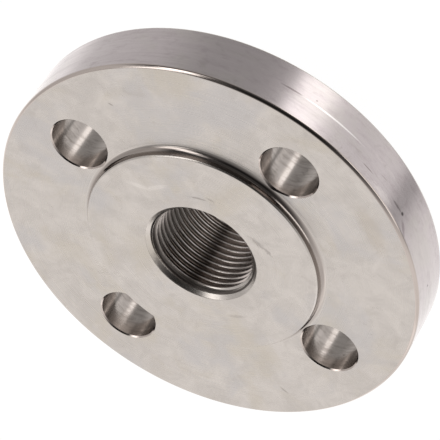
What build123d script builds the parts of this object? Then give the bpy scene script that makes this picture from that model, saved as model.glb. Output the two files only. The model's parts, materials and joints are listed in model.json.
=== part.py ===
from build123d import *
import math
import os

# Sizes are in millimetres and angles in degrees.

# Flange plate
flange_diameter = 105.0
plate_thickness = 14.5
rim_chamfer = 0.6

# Raised sealing face, on the front of the plate
raised_face_diameter = 58.0
raised_face_height = 2.5
raised_face_root_radius = 1.8
raised_face_edge_chamfer = 0.3

# Hub, on the back of the plate, where the pipe screws in
hub_diameter = 45.0
hub_length = 8.0
hub_root_radius = 4.0
hub_edge_chamfer = 1.0

# Bolt holes, drilled for a bolt with clearance around it
bolt_diameter = 12.0
bolt_clearance = 2.0
bolt_hole_chamfer = 0.3
bolt_circle_diameter = 75.0
bolt_count = 4
first_bolt_angle = 45.0

# Parallel pipe thread of the three-quarter inch size, with 55 degree flanks.
# The bore is modelled at the thread's crests, which is its smallest diameter.
inch = 25.4
thread_turns_per_inch = 14
thread_major_diameter = 26.441
thread_depth_in_pitches = 0.640327

# Countersink at each end of the thread, measured outside the thread's roots
mouth_margin = 0.83

# Levels along the bore axis, from the hub's end up to the sealing face
hub_end = 0.0
plate_back = hub_end + hub_length
plate_front = plate_back + plate_thickness
sealing_face = plate_front + raised_face_height

# Sizes that follow from the ones above
thread_pitch = inch / thread_turns_per_inch
thread_depth = thread_depth_in_pitches * thread_pitch
bore_diameter = thread_major_diameter - 2 * thread_depth
mouth_chamfer = thread_depth + mouth_margin
bolt_hole_diameter = bolt_diameter + bolt_clearance

# How closely an edge has to match the level and diameter that it is picked by
pick_tolerance = 0.001


def ring_edges(solid, level, diameter):
    """The full or partial circles of one diameter that lie on one level."""
    on_level = solid.edges().filter_by_position(
        Axis.Z, level - pick_tolerance, level + pick_tolerance
    )
    circles = on_level.filter_by(GeomType.CIRCLE)
    return circles.filter_by(
        lambda edge: math.isclose(2 * edge.radius, diameter, abs_tol=pick_tolerance)
    )


os.makedirs("parts", exist_ok=True)

with BuildPart() as flange:
    # Plate with its rim edges broken on both sides
    with BuildSketch(Plane.XY.offset(plate_back)):
        Circle(flange_diameter / 2)
    extrude(amount=plate_thickness)
    chamfer(flange.edges().filter_by(GeomType.CIRCLE), rim_chamfer)

    # Raised face, turned with a round-nosed tool that leaves a fillet at its foot
    with BuildSketch(Plane.XY.offset(plate_front)):
        Circle(raised_face_diameter / 2)
    extrude(amount=raised_face_height)
    fillet(ring_edges(flange, plate_front, raised_face_diameter), raised_face_root_radius)
    chamfer(ring_edges(flange, sealing_face, raised_face_diameter), raised_face_edge_chamfer)

    # Hub, with a generous fillet into the plate
    with BuildSketch(Plane.XY.offset(plate_back)):
        Circle(hub_diameter / 2)
    extrude(amount=-hub_length)
    fillet(ring_edges(flange, plate_back, hub_diameter), hub_root_radius)
    chamfer(ring_edges(flange, hub_end, hub_diameter), hub_edge_chamfer)

    # Bore at the thread's crests, countersunk at both ends
    Hole(bore_diameter / 2)
    for level in (hub_end, sealing_face):
        chamfer(ring_edges(flange, level, bore_diameter), mouth_chamfer)

    # Bolt holes through the plate, deburred on both sides
    with PolarLocations(bolt_circle_diameter / 2, bolt_count, start_angle=first_bolt_angle):
        Hole(bolt_hole_diameter / 2)
    for level in (plate_back, plate_front):
        chamfer(ring_edges(flange, level, bolt_hole_diameter), bolt_hole_chamfer)

flange.part.label = "threaded_flange"
export_step(flange.part, "parts/threaded_flange.step")
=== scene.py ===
import json
import math

import bmesh
import bpy
from mathutils import Matrix, Quaternion, Vector


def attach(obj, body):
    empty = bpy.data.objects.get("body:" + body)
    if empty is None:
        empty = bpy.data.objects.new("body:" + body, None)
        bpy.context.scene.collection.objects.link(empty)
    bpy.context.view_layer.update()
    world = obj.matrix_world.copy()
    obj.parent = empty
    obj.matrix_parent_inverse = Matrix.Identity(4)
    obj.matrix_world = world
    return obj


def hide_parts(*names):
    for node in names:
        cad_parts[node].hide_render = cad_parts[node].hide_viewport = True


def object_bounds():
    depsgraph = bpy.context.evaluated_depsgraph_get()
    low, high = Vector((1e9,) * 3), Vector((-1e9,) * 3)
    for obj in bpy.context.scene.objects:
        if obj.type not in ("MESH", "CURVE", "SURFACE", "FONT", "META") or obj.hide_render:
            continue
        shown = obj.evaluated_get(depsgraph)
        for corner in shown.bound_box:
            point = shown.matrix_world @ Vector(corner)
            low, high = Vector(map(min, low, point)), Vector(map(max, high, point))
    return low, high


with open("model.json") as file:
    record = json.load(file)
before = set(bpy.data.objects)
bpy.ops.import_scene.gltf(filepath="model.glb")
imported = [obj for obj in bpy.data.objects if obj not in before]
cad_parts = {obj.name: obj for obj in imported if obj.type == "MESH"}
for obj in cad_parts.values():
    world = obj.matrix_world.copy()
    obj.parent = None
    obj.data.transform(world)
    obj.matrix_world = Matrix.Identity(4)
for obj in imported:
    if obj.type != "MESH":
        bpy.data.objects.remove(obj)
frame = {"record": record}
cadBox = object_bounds()


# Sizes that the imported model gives, in mm

def mount(name):
    return next(m for m in frame["record"]["mounts"] if m["name"] == name)


perMetre = 1000.0       # mm
inch = 25.4
boltCircle = mount("bolt_circle")
pipeThread = mount("pipe_thread")
flangeRadius = cadBox[1].x * perMetre
sealingFaceZ = cadBox[1].z * perMetre
plateFrontZ = boltCircle["pos_m"][2] * perMetre
plateBackZ = mount("nut_face")["pos_m"][2] * perMetre
boltCircleRadius = boltCircle["dims"]["pcd_mm"] / 2
boltHoleRadius = boltCircle["dims"]["hole_r_mm"]
boltCount = boltCircle["dims"]["count"]
crestRadius = pipeThread["dims"]["r_mm"]
mouthDepth = (sealingFaceZ - pipeThread["dims"]["length_mm"]) / 2
mouthRadius = crestRadius + mouthDepth
print("frame loaded: flange", round(2 * flangeRadius, 1), "mm across,", round(sealingFaceZ, 1), "mm high")


# Mesh helpers. Everything is modelled in mm and brought to metres at the end.

def newMeshObject(name, bm):
    mesh = bpy.data.meshes.new(name)
    bm.to_mesh(mesh)
    bm.free()
    made = bpy.data.objects.new(name, mesh)
    bpy.context.scene.collection.objects.link(made)
    return made


def everything(bm):
    return bm.verts[:] + bm.edges[:] + bm.faces[:]


def addOutline(bm, corners, closed=True):
    # each corner: radius and height, and for a round one how far it is cut back and its segments
    verts = [bm.verts.new((corner[0], 0, corner[1])) for corner in corners]
    pairs = list(zip(verts, verts[1:]))
    if closed:
        pairs.append((verts[-1], verts[0]))
    for pair in pairs:
        bm.edges.new(pair)
    for vert, corner in zip(verts, corners):
        if len(corner) > 2:
            cutBack, segments = corner[2:]
            bmesh.ops.bevel(bm, geom=[vert], affect="VERTICES", offset=cutBack, offset_type="OFFSET",
                            segments=segments, profile=0.5, material=-1, clamp_overlap=False)


def holdEnds(bm, hold, least):
    # a short edge at both ends of each long one keeps the shading of the flats clean
    for edge in [e for e in bm.edges if e.calc_length() > least * hold]:
        for end in edge.verts[:]:
            bmesh.utils.edge_split(edge, end, hold / edge.calc_length())


def spinRound(bm, steps, angle=math.tau, rise=0.0, **options):
    # about the flange's axis, with the rise of one step in mm
    bmesh.ops.spin(bm, geom=everything(bm), cent=(0, 0, 0), axis=(0, 0, 1), dvec=(0, 0, rise),
                   angle=angle, steps=steps, **options)


def tidyShell(bm, mergeDistance=1e-4):
    bmesh.ops.remove_doubles(bm, verts=bm.verts[:], dist=mergeDistance)
    bmesh.ops.recalc_face_normals(bm, faces=bm.faces[:])


def cutAway(body, cutter):
    modifier = body.modifiers.new("cut", "BOOLEAN")
    modifier.operation = "DIFFERENCE"
    modifier.solver = "MANIFOLD"
    modifier.object = cutter
    depsgraph = bpy.context.evaluated_depsgraph_get()
    cutMesh = bpy.data.meshes.new_from_object(body.evaluated_get(depsgraph))
    body.modifiers.clear()
    oldMesh = body.data
    body.data = cutMesh
    bpy.data.meshes.remove(oldMesh)
    bpy.data.objects.remove(cutter)


# Flange blank

blank = {
    "raisedRadius": 29.0,
    "raisedRoot": 1.8,
    "raisedEdge": 0.3,
    "hubRadius": 22.5,
    "hubRoot": 4.0,
    "hubEdge": 1.0,
    "rimChamfer": 0.6,
    "rimRound": 0.3,        # where the chamfer runs into the rim
    "edgeRound": 0.12,      # what a file or a cloth takes off the other corners
    "boreStock": 0.6,       # left inside the thread's crests, for the tap to take away
    "segments": {"raisedRoot": 10, "hubRoot": 8, "rim": 5, "edge": 3},
    "hold": 0.15,
    "holdLeast": 6,         # an edge this many times as long has its ends held
    "stepsRound": 288,
}


def makeBlank():
    b = blank
    rim, chamfer, raised = flangeRadius, b["rimChamfer"], b["raisedRadius"]
    innerRadius = crestRadius - b["boreStock"]
    coneDepth = mouthRadius - innerRadius
    edgeRound = (b["edgeRound"], b["segments"]["edge"])
    faceRound = (b["edgeRound"] / 2, b["segments"]["edge"])
    rimRound = (b["rimRound"], b["segments"]["rim"])
    bm = bmesh.new()
    addOutline(bm, [
        (mouthRadius, 0),
        (b["hubRadius"] - b["hubEdge"], 0, *edgeRound),
        (b["hubRadius"], b["hubEdge"], *edgeRound),
        (b["hubRadius"], plateBackZ, b["hubRoot"], b["segments"]["hubRoot"]),
        (rim - chamfer, plateBackZ, *edgeRound),
        (rim, plateBackZ + chamfer, *rimRound),
        (rim, plateFrontZ - chamfer, *rimRound),
        (rim - chamfer, plateFrontZ, *edgeRound),
        (raised, plateFrontZ, b["raisedRoot"], b["segments"]["raisedRoot"]),
        (raised, sealingFaceZ - b["raisedEdge"], *faceRound),
        (raised - b["raisedEdge"], sealingFaceZ, *faceRound),
        (mouthRadius, sealingFaceZ, *faceRound),
        (innerRadius, sealingFaceZ - coneDepth),
        (innerRadius, coneDepth),
    ])
    holdEnds(bm, b["hold"], b["holdLeast"])
    spinRound(bm, b["stepsRound"], use_merge=True)
    tidyShell(bm)
    print("blank:", len(bm.faces), "faces")
    return newMeshObject("flangeBody", bm)


# Bolt holes

boltHole = {
    "chamfer": 0.3,
    "overshoot": 1.0,
    "stepsRound": 96,
    "firstAngle": 45,
}


def makeHoleCutter():
    b = boltHole
    chamfer, over = b["chamfer"], b["overshoot"]
    flare = boltHoleRadius + chamfer + over
    bm = bmesh.new()
    addOutline(bm, [
        (0, plateBackZ - over),
        (flare, plateBackZ - over),
        (boltHoleRadius, plateBackZ + chamfer),
        (boltHoleRadius, plateFrontZ - chamfer),
        (flare, plateFrontZ + over),
        (0, plateFrontZ + over),
    ], closed=False)
    spinRound(bm, b["stepsRound"], use_merge=True)
    tidyShell(bm)
    bmesh.ops.translate(bm, verts=bm.verts[:], vec=(boltCircleRadius, 0, 0))
    bmesh.ops.rotate(bm, verts=bm.verts[:], cent=(0, 0, 0),
                     matrix=Matrix.Rotation(math.radians(b["firstAngle"]), 3, "Z"))
    spinRound(bm, boltCount - 1, math.tau * (boltCount - 1) / boltCount, use_duplicate=True)
    print("bolt holes:", boltCount, "of", round(2 * boltHoleRadius, 1), "mm")
    return newMeshObject("boltHoleCutter", bm)


# Pipe thread

thread = {
    "turnsPerInch": 14,
    "flankAngle": 27.5,          # each flank from the plane square to the axis
    "cutOffShare": 1 / 6,        # of the sharp thread's height, at its crest and its root
    "firstCrestAzimuth": 235.6,
    "firstCrestDepth": 2.2,      # below the sealing face
    "stepsPerTurn": 144,
    "crestRound": 0.10,          # how far the flat crest's two corners are cut back
    "roundSegments": 6,
    "landRadius": 12.69,         # a narrow step that the worn tap left half way up each upper flank
    "landWidth": 0.13,
    "overshoot": 1.0,
    "planeTolerance": 1e-5,
}


def makeTap():
    # a threaded rod of the thread's own form, taken away from the blank
    t = thread
    pitch = inch / t["turnsPerInch"]
    flank = math.radians(t["flankAngle"])
    sharpHeight = pitch / 2 / math.tan(flank)
    cutOff = sharpHeight * t["cutOffShare"]
    rootRadius = crestRadius + sharpHeight - 2 * cutOff
    middle = (crestRadius + rootRadius) / 2
    crestHalf = cutOff * math.tan(flank)
    # the sharp root is cut back until its round just reaches the root radius
    cutBack = cutOff / (2 * math.cos(flank) * (1 - math.sqrt(0.5)))
    crestZ = sealingFaceZ - t["firstCrestDepth"] - pitch * t["firstCrestAzimuth"] / 360
    below = math.ceil((crestZ + t["overshoot"]) / pitch) + 1
    above = math.ceil((sealingFaceZ + t["overshoot"] - crestZ) / pitch) + 1
    startZ = crestZ - below * pitch
    landZ = startZ + (t["landRadius"] - crestRadius + cutOff) * math.tan(flank)
    bm = bmesh.new()
    addOutline(bm, [
        (middle, startZ - pitch / 4),
        (crestRadius, startZ - crestHalf, t["crestRound"], t["roundSegments"]),
        (crestRadius, startZ + crestHalf, t["crestRound"], t["roundSegments"]),
        (t["landRadius"], landZ - t["landWidth"] / 2),
        (t["landRadius"], landZ + t["landWidth"] / 2),
        (rootRadius + cutOff, startZ + pitch / 2, cutBack, t["roundSegments"]),
        (middle, startZ + 3 * pitch / 4),
    ], closed=False)
    spinRound(bm, t["stepsPerTurn"], rise=pitch / t["stepsPerTurn"])
    oneTurn = everything(bm)
    for turn in range(1, below + above):
        copied = bmesh.ops.duplicate(bm, geom=oneTurn)["geom"]
        bmesh.ops.translate(bm, verts=[v for v in copied if isinstance(v, bmesh.types.BMVert)],
                            vec=(0, 0, turn * pitch))
    tidyShell(bm)
    for height, side in ((-t["overshoot"], -1), (sealingFaceZ + t["overshoot"], 1)):
        bmesh.ops.bisect_plane(bm, geom=everything(bm), dist=t["planeTolerance"], plane_co=(0, 0, height),
                               plane_no=(0, 0, side), clear_outer=True)
    bmesh.ops.holes_fill(bm, edges=[e for e in bm.edges if e.is_boundary], sides=0)
    tidyShell(bm)
    reach = [math.hypot(v.co.x, v.co.y) for v in bm.verts]
    print("tap: from", round(min(reach), 3), "to", round(max(reach), 3), "mm, wants", round(crestRadius, 3),
          "to", round(rootRadius, 3), "| open edges", sum(not e.is_manifold for e in bm.edges))
    return newMeshObject("tap", bm)


def makeFlange():
    body = makeBlank()
    cutAway(body, makeHoleCutter())
    cutAway(body, makeTap())
    return body


flangeBody = makeFlange()


# Node helpers, for the materials and the studio

def feed(tree, socket, value):
    # a socket takes a link or a plain value
    if isinstance(value, bpy.types.NodeSocket):
        tree.links.new(value, socket)
    else:
        socket.default_value = value


def feedAll(tree, node, given):
    for name, value in given.items():
        feed(tree, node.inputs[name], value)


def maths(tree, operation, *values):
    node = tree.nodes.new("ShaderNodeMath")
    node.operation = operation
    for socket, value in zip(node.inputs, values):
        feed(tree, socket, value)
    return node.outputs[0]


def vectorMaths(tree, operation, a, b=None, scale=None):
    node = tree.nodes.new("ShaderNodeVectorMath")
    node.operation = operation
    feed(tree, node.inputs[0], a)
    if b is not None:
        feed(tree, node.inputs[1], b)
    if scale is not None:
        feed(tree, node.inputs["Scale"], scale)
    return node.outputs["Value"] if operation in ("LENGTH", "DOT_PRODUCT") else node.outputs["Vector"]


def ramp(tree, value, start, full, atStart=0.0, atFull=1.0):
    # smooth from the start to where it is full, and the start may be the larger
    node = tree.nodes.new("ShaderNodeMapRange")
    node.interpolation_type = "SMOOTHSTEP"
    feedAll(tree, node, {"Value": value, "From Min": start, "From Max": full, "To Min": atStart,
                         "To Max": atFull})
    return node.outputs[0]


mixSockets = {"FLOAT": (2, 3, 0), "RGBA": (6, 7, 2)}    # places of the Mix node's two inputs and its result


def blend(tree, share, a, b):
    node = tree.nodes.new("ShaderNodeMix")
    colours = isinstance(b, tuple) or (isinstance(b, bpy.types.NodeSocket) and b.type == "RGBA")
    node.data_type = "RGBA" if colours else "FLOAT"
    first, second, result = mixSockets[node.data_type]
    feed(tree, node.inputs[0], share)
    feed(tree, node.inputs[first], a)
    feed(tree, node.inputs[second], b)
    return node.outputs[result]


def mixShaders(tree, share, a, b):
    node = tree.nodes.new("ShaderNodeMixShader")
    for socket, value in zip(node.inputs, (share, a, b)):
        feed(tree, socket, value)
    return node.outputs[0]


def noise(tree, vector, scale, detail, roughness, distortion=0.0):
    node = tree.nodes.new("ShaderNodeTexNoise")
    feedAll(tree, node, {"Vector": vector, "Scale": scale, "Detail": detail, "Roughness": roughness,
                         "Distortion": distortion})
    return node.outputs[0]


def swing(tree, pattern, reach):
    # a noise lies round 0.5, and this brings it round 0 and makes it as large as the reach
    return maths(tree, "MULTIPLY", maths(tree, "SUBTRACT", pattern, 0.5), reach)


def separate(tree, vector):
    node = tree.nodes.new("ShaderNodeSeparateXYZ")
    feed(tree, node.inputs[0], vector)
    return node.outputs["X"], node.outputs["Y"], node.outputs["Z"]


def combine(tree, x, y, z):
    node = tree.nodes.new("ShaderNodeCombineXYZ")
    for socket, value in zip(node.inputs, (x, y, z)):
        feed(tree, socket, value)
    return node.outputs[0]


def turnBack(tree, vector, degrees):
    # about the axis, so that what lies at that angle comes to lie along x
    node = tree.nodes.new("ShaderNodeVectorRotate")
    node.rotation_type = "Z_AXIS"
    angle = maths(tree, "MULTIPLY", maths(tree, "RADIANS", degrees), -1.0)
    feedAll(tree, node, {"Vector": vector, "Angle": angle})
    return node.outputs[0]


def newGroup(name, inputs, outputs):
    group = bpy.data.node_groups.new(name, "ShaderNodeTree")
    for socketName, kind in inputs.items():
        group.interface.new_socket(name=socketName, in_out="INPUT", socket_type="NodeSocket" + kind)
    for socketName, kind in outputs.items():
        group.interface.new_socket(name=socketName, in_out="OUTPUT", socket_type="NodeSocket" + kind)
    return group, group.nodes.new("NodeGroupInput").outputs, group.nodes.new("NodeGroupOutput").inputs


def useGroup(tree, group, label="", **given):
    node = tree.nodes.new("ShaderNodeGroup")
    node.node_tree = group
    node.label = label
    feedAll(tree, node, given)
    return node.outputs


# Effects that several finishes share. They all work in mm.

toolMarkGrain = {
    "fine": (1.0, 4.0, 0.62),       # noise: scale, detail, roughness
    "broad": (1.0, 2.0, 0.5),
    "broadFineness": 0.17,          # of the fine marks'
    "broadShare": 0.4,
}


def makeToolMarksGroup():
    # lines that run round the axis, uneven along their length
    t = toolMarkGrain
    group, given, out = newGroup("toolMarks", {"Across": "Float", "Around": "Vector", "Fineness": "Float"},
                                 {"Marks": "Float"})
    x, y = separate(group, given["Around"])[:2]
    across = maths(group, "MULTIPLY", given["Across"], given["Fineness"])
    broadAcross = maths(group, "MULTIPLY", across, t["broadFineness"])
    fine = noise(group, combine(group, x, y, across), *t["fine"])
    broad = noise(group, combine(group, y, x, broadAcross), *t["broad"])
    group.links.new(blend(group, t["broadShare"], fine, broad), out["Marks"])
    return group


# each stain: its shift in mm, its noise (scale, detail, roughness, distortion), and the noise's values
# where it starts and where it is full
stainClouds = {
    "Warm": ((0.0, 0.0, 0.0), (0.062, 5.0, 0.62, 0.5), (0.47, 0.68)),
    "Cool": ((71.0, 33.0, 12.0), (0.05, 4.0, 0.6, 0.3), (0.5, 0.66)),
    "Dark": ((11.0, 93.0, 47.0), (0.17, 6.0, 0.66, 0.9), (0.55, 0.74)),
}


def makeStainsGroup():
    # clouds left by coolant, oil and fingers
    group, given, out = newGroup("cloudStains", {"Vector": "Vector", "Spread": "Float"},
                                 dict.fromkeys(stainClouds, "Float"))
    spread = vectorMaths(group, "SCALE", given["Vector"], scale=given["Spread"])
    for name, (shift, cloud, limits) in stainClouds.items():
        pattern = noise(group, vectorMaths(group, "ADD", spread, shift), *cloud)
        group.links.new(ramp(group, pattern, *limits), out[name])
    return group


speckCore = 0.4     # the share of a speck's size that is full


def makeSpecksGroup():
    # rare small pits and grains
    group, given, out = newGroup("specks", {"Vector": "Vector", "Spacing": "Float", "Size": "Float",
                                            "Share": "Float"}, {"Mask": "Float"})
    cells = group.nodes.new("ShaderNodeTexVoronoi")
    scale = maths(group, "DIVIDE", 1.0, given["Spacing"])
    feedAll(group, cells, {"Vector": given["Vector"], "Scale": scale})
    distance = maths(group, "MULTIPLY", cells.outputs["Distance"], given["Spacing"])
    dot = ramp(group, distance, given["Size"], maths(group, "MULTIPLY", given["Size"], speckCore))
    chance = separate(group, cells.outputs["Color"])[0]
    chosen = maths(group, "LESS_THAN", chance, given["Share"])
    group.links.new(maths(group, "MULTIPLY", dot, chosen), out["Mask"])
    return group


spotEdge = {
    "core": 0.35,                       # the share of the half sizes inside which a spot is full
    "stretch": (0.9, 2.4, 1.0),         # of the ragged grain, along and across
    "grain": (1.0, 4.0, 0.7),           # noise: scale, detail, roughness
}


def makeWearSpotGroup():
    # one worn or marked place with a ragged edge, by its azimuth and its radius or height
    s = spotEdge
    floats = ("Across", "Azimuth", "Centre", "Angle", "Length", "Width", "Ragged")
    group, given, out = newGroup("wearSpot", {"Vector": "Vector", **dict.fromkeys(floats, "Float")},
                                 {"Mask": "Float"})
    x, y = separate(group, turnBack(group, given["Vector"], given["Azimuth"]))[:2]
    radius = vectorMaths(group, "LENGTH", combine(group, x, y, 0.0))
    along = maths(group, "MULTIPLY", maths(group, "ARCTAN2", y, x), radius)
    across = maths(group, "SUBTRACT", given["Across"], given["Centre"])
    onSpot = turnBack(group, combine(group, along, across, 0.0), given["Angle"])
    size = combine(group, given["Length"], given["Width"], 1.0)
    shape = vectorMaths(group, "LENGTH", vectorMaths(group, "DIVIDE", onSpot, size))
    grain = noise(group, vectorMaths(group, "MULTIPLY", onSpot, s["stretch"]), *s["grain"])
    ragged = maths(group, "ADD", shape, swing(group, grain, given["Ragged"]))
    group.links.new(ramp(group, ragged, 1.0, s["core"]), out["Mask"])
    return group


toolMarks = makeToolMarksGroup()
cloudStains = makeStainsGroup()
specks = makeSpecksGroup()
wearSpot = makeWearSpotGroup()
print("effects:", ", ".join(group.name for group in bpy.data.node_groups))


def newMaterial(name, roughness=0.5, metallic=1.0):
    material = bpy.data.materials.new(name)
    material.use_nodes = True
    tree = material.node_tree
    shader = tree.nodes["Principled BSDF"]
    shader.inputs["Metallic"].default_value = metallic
    shader.inputs["Roughness"].default_value = roughness
    return material, tree, shader


def partPlace(tree):
    # the place on the part in mm, with the direction round the axis and the way across the tool marks
    objectPoint = tree.nodes.new("ShaderNodeTexCoord").outputs["Object"]
    point = vectorMaths(tree, "SCALE", objectPoint, scale=perMetre)
    flat = vectorMaths(tree, "MULTIPLY", point, (1, 1, 0))
    radius = vectorMaths(tree, "LENGTH", flat)
    height = separate(tree, point)[2]
    return {
        "point": point,
        "radius": radius,
        "height": height,
        "around": vectorMaths(tree, "NORMALIZE", flat),
        "across": maths(tree, "ADD", radius, height),
    }


def turnedMarks(tree, at, fineness):
    return useGroup(tree, toolMarks, Across=at["across"], Around=at["around"], Fineness=fineness)["Marks"]


def shadeBy(tree, colour, mask, strength, tone):
    return blend(tree, maths(tree, "MULTIPLY", mask, strength), colour, tone)


def addLayer(tree, colour, pattern, layer):
    # a layer: tone, the pattern's value where it starts, where it is full, and its strength there
    tone, start, full, strength = layer
    return shadeBy(tree, colour, ramp(tree, pattern, start, full), strength, tone)


def stainMasks(tree, at, spread):
    return useGroup(tree, cloudStains, Vector=at["point"], Spread=spread)


def addStains(tree, colour, masks, stains):
    # each stain: tone and strength
    for name, (tone, strength) in stains.items():
        colour = shadeBy(tree, colour, masks[name], strength, tone)
    return colour


def markMask(tree, name, place, at, across):
    azimuth, centre, angle, length, width, ragged = place
    return useGroup(tree, wearSpot, name, Vector=at["point"], Across=at[across], Azimuth=azimuth,
                    Centre=centre, Angle=angle, Length=length, Width=width, Ragged=ragged)["Mask"]


def addMarks(tree, colour, marks, at, across):
    # each mark: azimuth, radius or height, angle, half length, half width, raggedness, tone, strength
    for name, (*place, tone, strength) in marks.items():
        colour = shadeBy(tree, colour, markMask(tree, name, place, at, across), strength, tone)
    return colour


def addBump(tree, shader, height, strength, depth):
    bump = tree.nodes.new("ShaderNodeBump")
    feedAll(tree, bump, {"Strength": strength, "Distance": depth / perMetre, "Height": height})
    tree.links.new(bump.outputs[0], shader.inputs["Normal"])


# In each finish below, a tone with three numbers is a layer, as in addLayer. A roughness with four is
# the tool marks' low and high value and the roughness at each. A bump is its strength and depth in mm.

# Front of the plate, the sealing face and the countersinks: satin, clouded

faceFinish = {
    "shaded": (0.560, 0.519, 0.489, 1),     # the two tones that the steel is mottled with
    "pale": (0.656, 0.609, 0.574, 1),
    "mottling": (0.15, 6.0, 0.68, 0.6),     # noise: scale, detail, roughness, distortion
    "mottlingLimits": (0.3, 0.7),
    "stains": {
        "Warm": ((0.575, 0.522, 0.455, 1), 0.7),
        "Cool": ((0.553, 0.526, 0.522, 1), 0.7),
        "Dark": ((0.480, 0.440, 0.410, 1), 0.4),
    },
    "stainSpread": 1.0,
    "fineness": 1.3,
    "roughness": (0.2, 1.0, 0.26, 0.30),
    "stainRoughness": 0.3,                  # what a dark stain adds to the marks' value
    "bump": (1.0, 0.2),
    "grain": 0.0015,                        # height of the tool marks, as a share of the bump's depth
    "flare": (32.3, 29.3),                  # radii between which the plate rises to the raised face
    "lip": (12.75, 13.2),                   # and those where the countersink's lower edge is rounded off
    "pits": {"Spacing": 5.0, "Size": 0.16, "Share": 0.16},
    "pitTone": (0.480, 0.440, 0.410, 1),
    "pitStrength": 0.6,
    "marks": {
        "paleArc": (111, 20.2, 2, 4.0, 0.9, 0.8, (0.80, 0.75, 0.71, 1), 0.4),
        "paleArcEnd": (122.5, 22.2, 47, 3.6, 0.9, 0.8, (0.80, 0.75, 0.71, 1), 0.4),
        "scuffOverBore": (80, 17.6, -5, 2.8, 0.4, 1.6, (0.30, 0.27, 0.25, 1), 0.6),
        "scuffOverBoreEnd": (70, 18.4, 8, 1.4, 0.35, 1.4, (0.33, 0.30, 0.28, 1), 0.55),
        "scuffBesideBore": (21, 16.9, -26, 2.8, 0.7, 3.2, (0.33, 0.30, 0.28, 1), 0.55),
        "scuffBesideBoreEnd": (12, 18.3, -26, 1.7, 0.6, 3.0, (0.30, 0.27, 0.25, 1), 0.6),
        # oil and painted shade: a dark patch on one side of the countersink
        "oilOnMouth": (218, 13.35, 0, 7.0, 1.0, 1.6, (0.120, 0.100, 0.090, 1), 0.55),
        "scuffUnderBore": (287, 19.3, 8, 3.0, 0.6, 1.6, (0.42, 0.38, 0.35, 1), 0.5),
        "nickUpper": (110.6, 42.6, 50, 0.9, 0.3, 0.8, (0.27, 0.24, 0.22, 1), 0.6),
        "nickLower": (285, 44.8, 60, 1.8, 0.35, 1.4, (0.32, 0.29, 0.26, 1), 0.55),
        "stainByRim": (16, 46.0, 0, 9.0, 3.2, 1.0, (0.50, 0.44, 0.37, 1), 0.4),
    },
}


def makeFaceSteel():
    f = faceFinish
    material, tree, shader = newMaterial("faceSteel")
    at = partPlace(tree)
    mottling = ramp(tree, noise(tree, at["point"], *f["mottling"]), *f["mottlingLimits"])
    stained = stainMasks(tree, at, f["stainSpread"])
    colour = addStains(tree, blend(tree, mottling, f["shaded"], f["pale"]), stained, f["stains"])
    colour = addMarks(tree, colour, f["marks"], at, "radius")
    pits = useGroup(tree, specks, Vector=at["point"], **f["pits"])["Mask"]
    colour = shadeBy(tree, colour, pits, f["pitStrength"], f["pitTone"])
    tree.links.new(colour, shader.inputs["Base Color"])
    marks = turnedMarks(tree, at, f["fineness"])
    rough = maths(tree, "ADD", marks, maths(tree, "MULTIPLY", stained["Dark"], f["stainRoughness"]))
    tree.links.new(ramp(tree, rough, *f["roughness"]), shader.inputs["Roughness"])
    form = maths(tree, "ADD", ramp(tree, at["radius"], *f["flare"]), ramp(tree, at["radius"], *f["lip"]))
    addBump(tree, shader, maths(tree, "ADD", form, maths(tree, "MULTIPLY", marks, f["grain"])), *f["bump"])
    return material


# Foot and wall of the raised face: smooth, and darker the deeper in the corner

rootFinish = {
    "plate": (0.606, 0.562, 0.530, 1),      # where the foot runs out on the plate
    "dark": (0.435, 0.388, 0.362, 1),
    "darkLimits": (29.6, 30.5),             # radii where it is all dark and all the plate's
    "grimy": ((0.330, 0.288, 0.265, 1), 0.42, 0.62, 0.7),
    "wall": ((0.200, 0.170, 0.155, 1), 23.4, 23.9, 0.55),      # a layer by the height
    "fineness": 4.0,
    "roughness": 0.13,
}


def makeRootSteel():
    f = rootFinish
    material, tree, shader = newMaterial("rootSteel", f["roughness"])
    at = partPlace(tree)
    dark = addLayer(tree, f["dark"], turnedMarks(tree, at, f["fineness"]), f["grimy"])
    dark = addLayer(tree, dark, at["height"], f["wall"])
    colour = blend(tree, ramp(tree, at["radius"], *f["darkLimits"]), dark, f["plate"])
    tree.links.new(colour, shader.inputs["Base Color"])
    return material


# Rim: turned, a little rosy, with scratches from handling, and painted shade and a painted highlight along
# its middle

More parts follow.
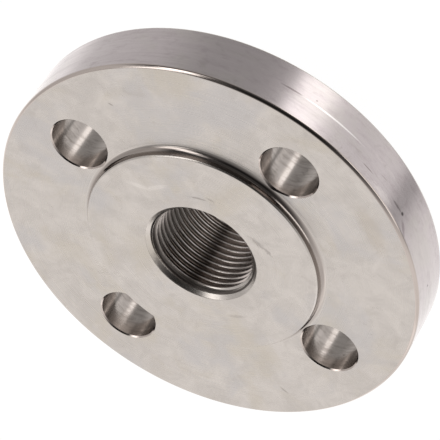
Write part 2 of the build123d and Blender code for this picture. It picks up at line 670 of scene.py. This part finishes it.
rimFinish = {
    "plain": (0.600, 0.545, 0.553, 1),
    "worn": ((0.530, 0.477, 0.484, 1), 0.45, 0.68, 0.55),
    "bright": ((0.70, 0.64, 0.63, 1), 0.5, 0.32, 0.3),
    "stains": {
        "Dark": ((0.24, 0.205, 0.200, 1), 0.22),
        "Warm": ((0.585, 0.555, 0.520, 1), 0.45),
    },
    "stainSpread": 1.5,
    "mottling": (1.0, 4.0, 0.62),           # noise: scale, detail, roughness
    "mottlingStretch": (0.3, 0.3, 0.7),
    "mottled": ((0.470, 0.410, 0.425, 1), 0.48, 0.72, 0.45),
    "aroundScale": 2.5,                     # breaks the tool marks up along their length
    "fineness": 2.2,
    "roughness": (0.3, 0.7, 0.17, 0.25),
    "bump": (0.2, 0.015),
    "marks": {
        "dent": (16.8, 18.4, 0, 0.65, 0.6, 0.4, (0.05, 0.04, 0.04, 1), 0.9),
        "dentTail": (19.6, 18.6, 0, 2.6, 0.45, 1.6, (0.20, 0.17, 0.17, 1), 0.7),
        "dentFoot": (14.2, 20.5, -36, 2.6, 0.7, 1.2, (0.30, 0.25, 0.26, 1), 0.6),
        "scratch": (32.2, 19.0, 0, 2.4, 0.22, 0.8, (0.24, 0.20, 0.20, 1), 0.7),
        "scratchLow": (27.0, 16.9, 4, 1.6, 0.2, 0.9, (0.33, 0.28, 0.28, 1), 0.5),
        "speck": (-8.0, 16.7, 0, 0.45, 0.45, 0.4, (0.12, 0.10, 0.10, 1), 0.85),
        "speckMid": (51.6, 14.1, 0, 0.35, 0.35, 0.4, (0.35, 0.29, 0.28, 1), 0.8),
        # painted shade and a painted highlight, where a small step between two turning passes would catch
        # the light
        "seamDark": (58.0, 15.25, 0, 3.6, 0.34, 0.7, (0.20, 0.165, 0.165, 1), 0.65),
        "seamBright": (45.5, 15.35, 0, 10.5, 0.36, 0.6, (1.0, 0.97, 0.96, 1), 0.8),
        "haze": (24.5, 20.6, 0, 5.0, 1.4, 1.8, (0.80, 0.74, 0.73, 1), 0.5),
    },
}


def makeRimSteel():
    f = rimFinish
    material, tree, shader = newMaterial("rimSteel")
    at = partPlace(tree)
    around = vectorMaths(tree, "SCALE", at["around"], scale=f["aroundScale"])
    marks = useGroup(tree, toolMarks, Across=at["height"], Around=around, Fineness=f["fineness"])["Marks"]
    colour = addLayer(tree, f["plain"], marks, f["worn"])
    colour = addLayer(tree, colour, marks, f["bright"])
    colour = addStains(tree, colour, stainMasks(tree, at, f["stainSpread"]), f["stains"])
    stretched = vectorMaths(tree, "MULTIPLY", at["point"], f["mottlingStretch"])
    colour = addLayer(tree, colour, noise(tree, stretched, *f["mottling"]), f["mottled"])
    colour = addMarks(tree, colour, f["marks"], at, "height")
    tree.links.new(colour, shader.inputs["Base Color"])
    tree.links.new(ramp(tree, marks, *f["roughness"]), shader.inputs["Roughness"])
    addBump(tree, shader, marks, *f["bump"])
    return material


# Chamfers of the holes and of the rim's front: smooth, with darker tool marks

edgeFinish = {
    "plain": (0.60, 0.530, 0.495, 1),
    "dark": ((0.48, 0.415, 0.38, 1), 0.4, 0.65, 0.7),
    "fineness": 5.0,
    "roughness": 0.13,
}


def makeEdgeSteel():
    f = edgeFinish
    material, tree, shader = newMaterial("edgeSteel", f["roughness"])
    marks = turnedMarks(tree, partPlace(tree), f["fineness"])
    tree.links.new(addLayer(tree, f["plain"], marks, f["dark"]), shader.inputs["Base Color"])
    return material


# Bolt holes: drilled, mottled, with painted shade at two sides of each

holeFinish = {
    "plain": (0.500, 0.457, 0.430, 1),
    "dark": ((0.245, 0.215, 0.195, 1), 0.42, 0.7, 0.7),
    "stains": {"Dark": ((0.245, 0.215, 0.195, 1), 0.7)},
    "stainSpread": 4.0,
    "sides": ((0.245, 0.215, 0.195, 1), 0.72, 0.97, 0.65),     # painted shade at two sides of each hole
    "sideAzimuth": 145.5,
    "slant": 0.12,                          # of the drill's marks
    "aroundScale": 0.25,
    "fineness": 1.1,
    "roughness": (0.35, 0.65, 0.14, 0.24),
    "bump": (0.4, 0.03),
}


def makeHoleSteel():
    f = holeFinish
    material, tree, shader = newMaterial("holeSteel")
    at = partPlace(tree)
    x, y, z = separate(tree, at["point"])
    slanted = maths(tree, "ADD", z, maths(tree, "MULTIPLY", x, f["slant"]))
    around = vectorMaths(tree, "SCALE", at["point"], scale=f["aroundScale"])
    marks = useGroup(tree, toolMarks, Across=slanted, Around=around, Fineness=f["fineness"])["Marks"]
    colour = addLayer(tree, f["plain"], marks, f["dark"])
    colour = addStains(tree, colour, stainMasks(tree, at, f["stainSpread"]), f["stains"])
    # the four centres differ in their signs alone
    reach = boltCircleRadius * math.cos(math.radians(boltHole["firstAngle"]))
    fromCentre = []
    for value in (x, y):
        centre = maths(tree, "MULTIPLY", maths(tree, "SIGN", value), reach)
        fromCentre.append(maths(tree, "SUBTRACT", value, centre))
    # painted shade: each wall is darker towards two opposite sides of its hole
    side = math.radians(f["sideAzimuth"])
    towardShadedSide = vectorMaths(tree, "DOT_PRODUCT", combine(tree, *fromCentre, 0.0),
                          (math.cos(side), math.sin(side), 0))
    share = maths(tree, "DIVIDE", maths(tree, "ABSOLUTE", towardShadedSide), boltHoleRadius)
    tree.links.new(addLayer(tree, colour, share, f["sides"]), shader.inputs["Base Color"])
    tree.links.new(ramp(tree, marks, *f["roughness"]), shader.inputs["Roughness"])
    addBump(tree, shader, marks, *f["bump"])
    return material


# Thread: bright on the crests, dark with cutting oil between them, with patches of painted shade and a
# painted highlight on the step, on the side in view

threadFinish = {
    "crest": (0.72, 0.67, 0.64, 1),
    "crestLimits": (0.045, 0.15),           # depths where the crest's tone starts to go and is gone
    "flank": (0.46, 0.41, 0.385, 1),
    "root": (0.400, 0.350, 0.325, 1),
    "rootLimits": (0.49, 0.91),             # depths where the root's tone starts and is full
    "oil": (0.6, 4.0, 0.6),                 # noise: scale, detail, roughness
    "oilReach": 0.25,                       # by how much it moves those depths
    "roughness": (0.3, 0.9, 0.16, 0.45),
    # painted shade in the grooves on the side in view
    "grooveMarks": {
        "oilDeep": (225, 14, 0, 7.5, 40, 0.5, (0.120, 0.105, 0.095, 1), 0.8),
    },
    # darker patches over the thread: oil and painted shade to the left, painted shade in the middle
    "marks": {
        "oilLeft": (190, 14, 0, 7.5, 40, 0.5, (0.170, 0.155, 0.140, 1), 0.65),
        "oilMiddle": (238, 14, 0, 3.4, 40, 0.3, (0.120, 0.105, 0.095, 1), 0.8),
    },
    "mouthMarks": {
        "oilAtMouth": (235, 23.38, 1.3, 200, 0.5, 0.3, (0.045, 0.038, 0.034, 1), 0.8),
        "lipAtMouth": (235, 24.0, 1.3, 200, 0.45, 0.3, (0.700, 0.640, 0.600, 1), 0.9),
    },
    "dull": (174, 14, 0, 7.0, 40, 0.4),     # a dry, rougher place, as in a mark
    "dullRoughness": 0.25,
    "land": (217, 14, 0, 8.0, 40, 0.4),     # where the step gets a painted highlight, as in a mark
    "landLimits": (0.09, 0.04),             # from the step's radius
}


def makeThreadSteel():
    f = threadFinish
    material, tree, shader = newMaterial("threadSteel")
    at = partPlace(tree)
    depth = maths(tree, "SUBTRACT", at["radius"], crestRadius)
    oily = maths(tree, "ADD", depth, swing(tree, noise(tree, at["point"], *f["oil"]), f["oilReach"]))
    colour = blend(tree, ramp(tree, oily, *f["rootLimits"]), f["flank"], f["root"])
    # painted shade, first in the grooves alone and, once the crests are in, over the whole thread
    colour = addMarks(tree, colour, f["grooveMarks"], at, "height")
    colour = blend(tree, ramp(tree, depth, *f["crestLimits"]), f["crest"], colour)
    colour = addMarks(tree, colour, f["marks"], at, "height")
    # painted highlight: the step takes the crest's pale tone on this side
    fromLand = maths(tree, "ABSOLUTE", maths(tree, "SUBTRACT", at["radius"], thread["landRadius"]))
    landHighlightMask = markMask(tree, "land", f["land"], at, "height")
    colour = shadeBy(tree, colour, ramp(tree, fromLand, *f["landLimits"]), landHighlightMask, f["crest"])
    colour = addMarks(tree, colour, f["mouthMarks"], at, "height")
    tree.links.new(colour, shader.inputs["Base Color"])
    dullMask = markMask(tree, "dull", f["dull"], at, "height")
    dull = maths(tree, "MULTIPLY", dullMask, f["dullRoughness"])
    tree.links.new(maths(tree, "ADD", dull, ramp(tree, oily, *f["roughness"])), shader.inputs["Roughness"])
    return material


# Hub and the back of the plate: plainly turned

backFinish = {
    "plain": (0.560, 0.520, 0.490, 1),
    "worn": ((0.470, 0.430, 0.400, 1), 0.4, 0.65, 0.6),
    "stains": {
        "Warm": ((0.575, 0.522, 0.455, 1), 0.5),
        "Dark": ((0.480, 0.440, 0.410, 1), 0.4),
    },
    "stainSpread": 1.0,
    "fineness": 3.0,
    "roughness": (0.3, 0.7, 0.25, 0.38),
    "bump": (0.5, 0.03),
}


def makeBackSteel():
    f = backFinish
    material, tree, shader = newMaterial("backSteel")
    at = partPlace(tree)
    marks = turnedMarks(tree, at, f["fineness"])
    colour = addLayer(tree, f["plain"], marks, f["worn"])
    colour = addStains(tree, colour, stainMasks(tree, at, f["stainSpread"]), f["stains"])
    tree.links.new(colour, shader.inputs["Base Color"])
    tree.links.new(ramp(tree, marks, *f["roughness"]), shader.inputs["Roughness"])
    addBump(tree, shader, marks, *f["bump"])
    return material


# Each face of the flange takes the finish of the cut that made it

faceSorting = {
    "near": 0.02,               # mm
    # how far a face's normal points along the axis, from 0 on a wall to 1 on a flat
    "cone": (0.6, 0.8),
    "holeWallTo": 0.1,
    "holeEdgeTo": 0.99,
    "rimTo": 0.5,
    "flatFrom": 0.995,
    "sharpAngle": 18,           # degrees between two faces, past which their edge stays sharp
}


def holeCentres():
    for k in range(boltCount):
        angle = math.radians(boltHole["firstAngle"]) + math.tau * k / boltCount
        yield boltCircleRadius * math.cos(angle), boltCircleRadius * math.sin(angle)


def finishOf(face, holes):
    s = faceSorting
    near = s["near"]
    x, y, z = face.center
    upright = abs(face.normal.z)
    radius = math.hypot(x, y)
    depth = min(z, sealingFaceZ - z)        # from the nearer end of the bore
    if radius < mouthRadius and depth > near:
        onCone = abs(radius - (mouthRadius - depth)) < near and s["cone"][0] < upright < s["cone"][1]
        return "face" if onCone else "thread"
    inHole = any(math.hypot(x - hx, y - hy) < boltHoleRadius + boltHole["chamfer"] for hx, hy in holes)
    if inHole and upright < s["holeEdgeTo"]:
        return "hole" if upright < s["holeWallTo"] else "edge"
    if upright > s["flatFrom"]:
        return "face" if z > plateFrontZ - near else "back"
    if radius > flangeRadius - near and upright < s["rimTo"]:
        return "rim"
    if z > sealingFaceZ - blank["raisedEdge"]:
        return "face"
    if z > plateFrontZ - near and radius < blank["raisedRadius"] + blank["raisedRoot"]:
        return "root"
    return "edge" if z > plateFrontZ - 2 * blank["rimChamfer"] else "back"


def finishFlange():
    materials = {
        "face": makeFaceSteel(),
        "root": makeRootSteel(),
        "rim": makeRimSteel(),
        "edge": makeEdgeSteel(),
        "hole": makeHoleSteel(),
        "thread": makeThreadSteel(),
        "back": makeBackSteel(),
    }
    mesh = flangeBody.data
    mesh.materials.clear()
    for material in materials.values():
        mesh.materials.append(material)
    order, holes = list(materials), list(holeCentres())
    tally = dict.fromkeys(order, 0)
    for face in mesh.polygons:
        finish = finishOf(face, holes)
        face.material_index = order.index(finish)
        tally[finish] += 1
    mesh.transform(Matrix.Scale(1 / perMetre, 4))
    mesh.shade_smooth()
    mesh.set_sharp_from_angle(angle=math.radians(faceSorting["sharpAngle"]))
    print("flange:", len(mesh.polygons), "faces,", tally)


finishFlange()
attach(flangeBody, "root")
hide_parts("threaded_flange")


# Floor

floorPlate = {
    "size": 6.0,
    "colour": (0.9, 0.9, 0.9, 1),
    "roughness": 0.9,
    "shadeShare": 0.12,     # how much of the floor's own shading shows
    "glow": 1.1,
}


def whiteGlow(tree, kind):
    node = tree.nodes.new(kind)
    feedAll(tree, node, {"Color": (1, 1, 1, 1), "Strength": floorPlate["glow"]})
    return node.outputs[0]


def makeFloor():
    f = floorPlate
    bm = bmesh.new()
    bmesh.ops.create_grid(bm, x_segments=1, y_segments=1, size=f["size"] / 2)
    floor = newMeshObject("floor", bm)
    floor.visible_glossy = False
    floor.visible_shadow = False
    material, tree, shader = newMaterial("paleFloor", f["roughness"], metallic=0.0)
    shader.inputs["Base Color"].default_value = f["colour"]
    glow = whiteGlow(tree, "ShaderNodeEmission")
    mixed = mixShaders(tree, 1 - f["shadeShare"], shader.outputs[0], glow)
    tree.links.new(mixed, tree.nodes["Material Output"].inputs["Surface"])
    floor.data.materials.append(material)
    print("floor:", f["size"], "m square")


makeFloor()


# Studio light, all round the flange

def makeSoftboxGroup():
    # a soft-edged panel in the surroundings, by its direction from the flange
    floats = ("Azimuth", "Elevation", "HalfWidth", "HalfHeight", "Softness")
    group, given, out = newGroup("softbox", {"Direction": "Vector", **dict.fromkeys(floats, "Float")},
                                 {"Mask": "Float"})
    x, y, z = separate(group, turnBack(group, given["Direction"], given["Azimuth"]))
    sideways = maths(group, "ABSOLUTE", maths(group, "DEGREES", maths(group, "ARCTAN2", y, x)))
    height = maths(group, "DEGREES", maths(group, "ARCSINE", z))
    upDown = maths(group, "ABSOLUTE", maths(group, "SUBTRACT", height, given["Elevation"]))
    inside = []
    for value, half in ((sideways, given["HalfWidth"]), (upDown, given["HalfHeight"])):
        outer = maths(group, "ADD", half, given["Softness"])
        inner = maths(group, "SUBTRACT", half, given["Softness"])
        inside.append(ramp(group, value, outer, inner))
    group.links.new(maths(group, "MULTIPLY", *inside), out["Mask"])
    return group


studio = {
    "farAzimuth": 262,                      # the bright side of the room
    "room": (-0.35, 0.55, 0.07, 1.0),       # share of facing it, from and to, and the brightness at each
    "horizon": (-0.15, 0.02),               # where the ring below gives way to the room, as a sine
    # azimuth and brightness, right round below the flange
    "lowerRing": (
        (0, 0.93), (14, 0.82), (28, 0.84), (37, 1.0), (42, 1.75), (57, 1.85), (62, 0.53), (75, 0.40),
        (107, 0.40), (120, 0.5), (135, 0.64), (163, 0.68), (178, 0.75), (192, 1.13), (206, 1.1),
        (220, 1.45), (256, 1.25), (270, 1.08), (298, 1.02), (314, 1.0), (328, 0.80), (336, 0.40),
        (342, 0.40), (349, 0.94),
    ),
    "ringLimit": 2.0,                       # over the ring's brightest, because a colour ramp ends at 1
    "tint": (1.0, 0.985, 0.97, 1),
    # azimuth, elevation, half width, half height, softness, brightness
    "softboxes": {
        "side": (134, 45, 14, 9, 4, 2.4),
        "sideLow": (114, 36, 9, 8, 4, 2.8),
        "sideEdge": (103, 26, 8, 9, 6, 1.1),
        "sideHigh": (157, 58, 11, 9, 5, 1.5),
        "sideFill": (165, 20, 36, 26, 12, 0.65),
        "sideFar": (194, 31, 10, 22, 6, 1.15),
        "farHigh": (286, 24, 14, 26, 8, 1.35),
        "skyline": (5, 4, 22, 7, 5, 2.0),
        "ceilingFill": (90, 85, 180, 20, 8, 0.22),
    },
    # the same, with the share of the light that it takes away
    "screens": {
        "ceiling": (215, 78, 50, 20, 10, 0.5),
        "cameraSide": (58, 45, 30, 12, 8, 0.8),
    },
}


def makeLowerRing(tree, turns):
    shade = tree.nodes.new("ShaderNodeValToRGB")
    shade.color_ramp.interpolation = "LINEAR"
    stops = shade.color_ramp.elements
    stops.remove(stops[1])
    for number, (degrees, brightness) in enumerate(studio["lowerRing"]):
        stop = stops[0] if number == 0 else stops.new(degrees / 360)
        level = brightness / studio["ringLimit"]
        stop.position = degrees / 360
        stop.color = (level, level, level, 1)
    last = stops.new(1)
    last.color = stops[0].color
    tree.links.new(turns, shade.inputs[0])
    return maths(tree, "MULTIPLY", separate(tree, shade.outputs[0])[0], studio["ringLimit"])


def makeStudio():
    s = studio
    world = bpy.data.worlds.new("studio")
    bpy.context.scene.world = world
    world.use_nodes = True
    tree = world.node_tree
    direction = tree.nodes.new("ShaderNodeTexCoord").outputs["Generated"]
    x, y, z = separate(tree, direction)
    far = math.radians(s["farAzimuth"])
    facing = vectorMaths(tree, "DOT_PRODUCT", direction, (math.cos(far), math.sin(far), 0))
    turns = maths(tree, "DIVIDE", maths(tree, "ARCTAN2", y, x), math.tau)
    below = makeLowerRing(tree, maths(tree, "FRACT", maths(tree, "ADD", turns, 1.0)))
    light = blend(tree, ramp(tree, z, *s["horizon"]), below, ramp(tree, facing, *s["room"]))
    softbox = makeSoftboxGroup()

    def panel(name, azimuth, elevation, halfWidth, halfHeight, softness):
        return useGroup(tree, softbox, name, Direction=direction, Azimuth=azimuth, Elevation=elevation,
                        HalfWidth=halfWidth, HalfHeight=halfHeight, Softness=softness)["Mask"]

    for name, (*shape, share) in s["screens"].items():
        kept = maths(tree, "SUBTRACT", 1.0, maths(tree, "MULTIPLY", panel(name, *shape), share))
        light = maths(tree, "MULTIPLY", light, kept)
    for name, (*shape, brightness) in s["softboxes"].items():
        light = maths(tree, "MAXIMUM", light, maths(tree, "MULTIPLY", panel(name, *shape), brightness))
    background = tree.nodes["Background"]
    feedAll(tree, background, {"Color": s["tint"], "Strength": light})
    # past the floor's edge the camera sees the same pale white
    seen = tree.nodes.new("ShaderNodeLightPath").outputs["Is Camera Ray"]
    mixed = mixShaders(tree, seen, background.outputs[0], whiteGlow(tree, "ShaderNodeBackground"))
    tree.links.new(mixed, tree.nodes["World Output"].inputs["Surface"])
    print("studio:", len(s["softboxes"]), "softboxes,", len(s["screens"]), "screens")


makeStudio()


# Camera

cameraSpot = {
    "lens": 240.35,                # mm
    "sensor": 36,
    "azimuth": 55.502,             # degrees from +X
    "elevation": 40.51,
    "roll": -147.647,
    "distance": 667.65,            # mm from the point aimed at
    "aim": (5.835, 9.230, 22.5),
    "clip": (0.01, 20),            # metres
}


def makeCamera():
    c = cameraSpot
    azimuth, elevation = math.radians(c["azimuth"]), math.radians(c["elevation"])
    back = Vector((math.cos(azimuth) * math.cos(elevation), math.sin(azimuth) * math.cos(elevation),
                   math.sin(elevation)))
    lens = bpy.data.cameras.new("camera")
    lens.lens = c["lens"]
    lens.sensor_width = c["sensor"]
    lens.clip_start, lens.clip_end = c["clip"]
    camera = bpy.data.objects.new("camera", lens)
    bpy.context.scene.collection.objects.link(camera)
    roll = Quaternion((0, 0, 1), math.radians(c["roll"]))
    camera.rotation_mode = "QUATERNION"
    camera.rotation_quaternion = back.to_track_quat("Z", "Y") @ roll
    camera.location = (Vector(c["aim"]) + back * c["distance"]) / perMetre
    bpy.context.scene.camera = camera
    print("camera:", c["lens"], "mm lens,", c["distance"], "mm away")


makeCamera()
bpy.context.scene.view_settings.view_transform = "Standard"
